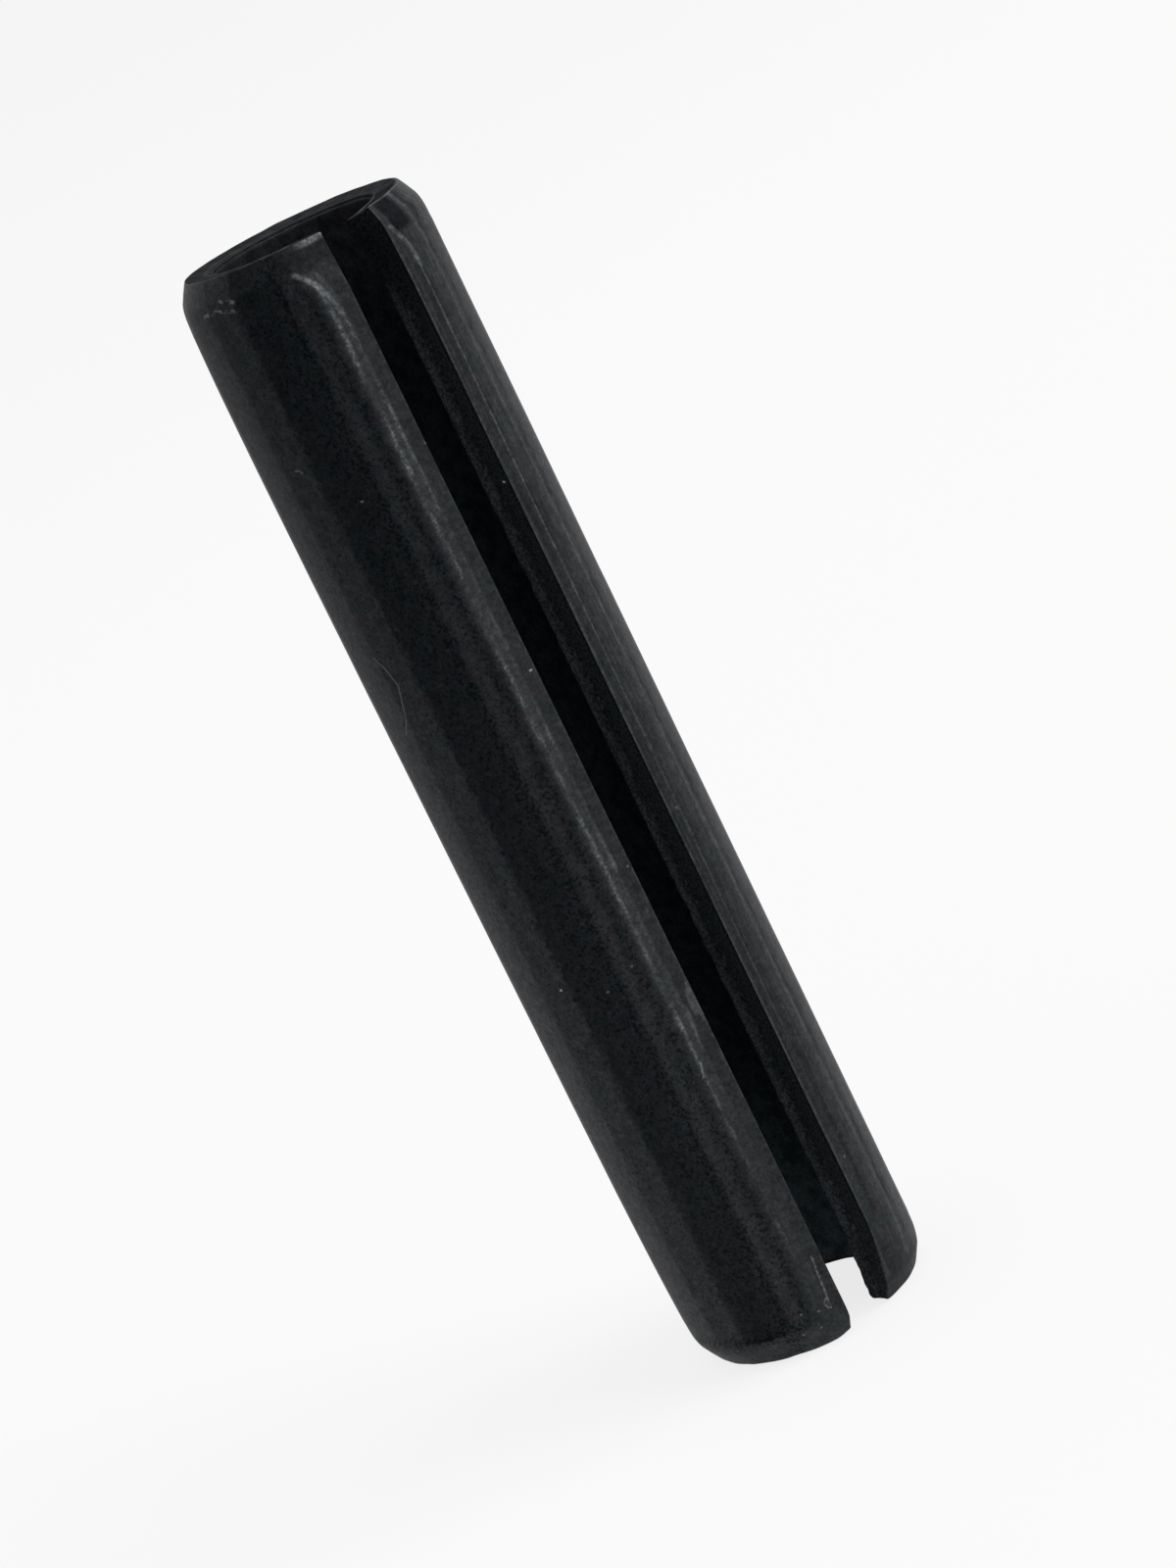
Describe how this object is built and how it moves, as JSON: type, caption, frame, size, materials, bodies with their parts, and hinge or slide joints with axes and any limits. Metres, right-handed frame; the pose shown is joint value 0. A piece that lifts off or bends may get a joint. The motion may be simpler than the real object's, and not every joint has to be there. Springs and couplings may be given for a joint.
{
  "type": "slotted spring pin",
  "caption": "Black slotted spring pin: a rolled steel tube open along one side, with flat lips beside the slot and chamfered ends.",
  "frame": {"origin": "centre of the lower end, on the pin's axis", "axes": "+Z along the pin's axis, towards the upper end; the slot faces -Y"},
  "size_m": [0.0086, 0.0084, 0.04],
  "materials": {
    "black_oxide_steel": "black oxide over drawn strip, satin, worn at the edges"
  },
  "bodies": {
    "root": {"spring_pin": "black_oxide_steel"}
  },
  "joints": []
}
